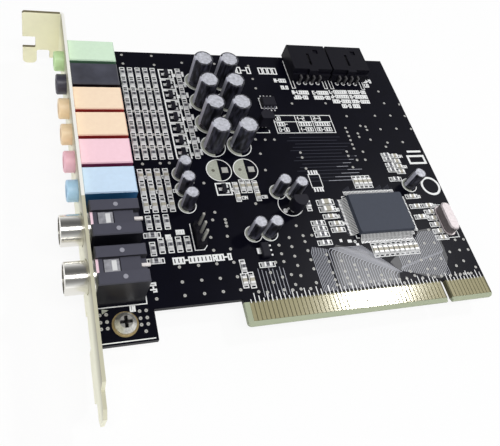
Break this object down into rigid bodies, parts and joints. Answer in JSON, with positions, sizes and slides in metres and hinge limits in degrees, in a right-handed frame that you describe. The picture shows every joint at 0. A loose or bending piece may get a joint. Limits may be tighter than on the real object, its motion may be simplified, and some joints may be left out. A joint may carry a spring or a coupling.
{
  "type": "pci sound card",
  "caption": "Plug-in sound card with a slotted contact edge, a folded bracket, a row of coloured jacks, digital sockets, capacitors, a flat pack chip and audio connectors.",
  "frame": {"origin": "middle of the key slot, at the lower edge of the contact tongue, on the component face of the board", "axes": "+X from the bracket to the far edge, +Y from the contacts to the top edge, +Z out of the component face"},
  "size_m": [0.1333, 0.12, 0.0209],
  "materials": {
    "solder_mask": "black solder mask on glass fibre",
    "contact_gold": "gold plate",
    "bracket_plate": "pale zinc plate",
    "screw_steel": "bright plate",
    "jack_green": "moulded",
    "jack_black": "moulded",
    "jack_orange": "moulded",
    "jack_pink": "moulded",
    "jack_blue": "moulded",
    "spring_metal": "tinned",
    "socket_black": "moulded",
    "nickel": "nickel plate",
    "white_plastic": "moulded",
    "capacitor_sleeve": "shrink sleeve",
    "connector_black": "moulded",
    "pin_metal": "tinned",
    "chip_mould": "moulded",
    "lead_tin": "tinned",
    "can_metal": "drawn can",
    "resistor_black": "glazed",
    "capacitor_ceramic": "ceramic"
  },
  "bodies": {
    "root": {"circuit_board": "solder_mask", "contacts_component_side": "contact_gold", "contacts_solder_side": "contact_gold", "bracket": "bracket_plate", "bracket_screw": "screw_steel", "mini_jack_green": "jack_green", "mini_jack_black": "jack_black", "mini_jack_orange_upper": "jack_orange", "mini_jack_orange_lower": "jack_orange", "mini_jack_pink": "jack_pink", "mini_jack_blue": "jack_blue", "jack_springs": "spring_metal", "digital_retainers": "white_plastic", "jumper_block": "connector_black", "jumper_pins": "pin_metal", "main_chip": "chip_mould", "main_chip_leads": "lead_tin", "amplifier": "chip_mould", "amplifier_leads": "lead_tin", "transistors": "chip_mould", "transistor_leads": "lead_tin", "standing_regulator": "chip_mould", "standing_regulator_leads": "lead_tin", "flat_regulator": "chip_mould", "flat_regulator_metal": "lead_tin", "crystal_can": "can_metal", "chip_resistors": "resistor_black", "chip_capacitors": "capacitor_ceramic", "digital_socket_lower": "socket_black", "digital_shell_lower": "nickel", "digital_insulator_lower": "white_plastic", "digital_contact_lower": "nickel", "digital_socket_upper": "socket_black", "digital_shell_upper": "nickel", "digital_insulator_upper": "white_plastic", "digital_contact_upper": "nickel", "output_capacitor_1": "capacitor_sleeve", "supply_capacitor_1": "capacitor_sleeve", "output_capacitor_2": "capacitor_sleeve", "supply_capacitor_2": "capacitor_sleeve", "output_capacitor_3": "capacitor_sleeve", "supply_capacitor_3": "capacitor_sleeve", "output_capacitor_4": "capacitor_sleeve", "supply_capacitor_4": "capacitor_sleeve", "output_capacitor_5": "capacitor_sleeve", "supply_capacitor_5": "capacitor_sleeve", "output_capacitor_6": "capacitor_sleeve", "supply_capacitor_6": "capacitor_sleeve", "output_capacitor_7": "capacitor_sleeve", "supply_capacitor_7": "capacitor_sleeve", "output_capacitor_8": "capacitor_sleeve", "supply_capacitor_8": "capacitor_sleeve", "audio_connector_1": "connector_black", "audio_connector_pins_1": "pin_metal", "audio_connector_2": "connector_black", "audio_connector_pins_2": "pin_metal"}
  },
  "joints": []
}
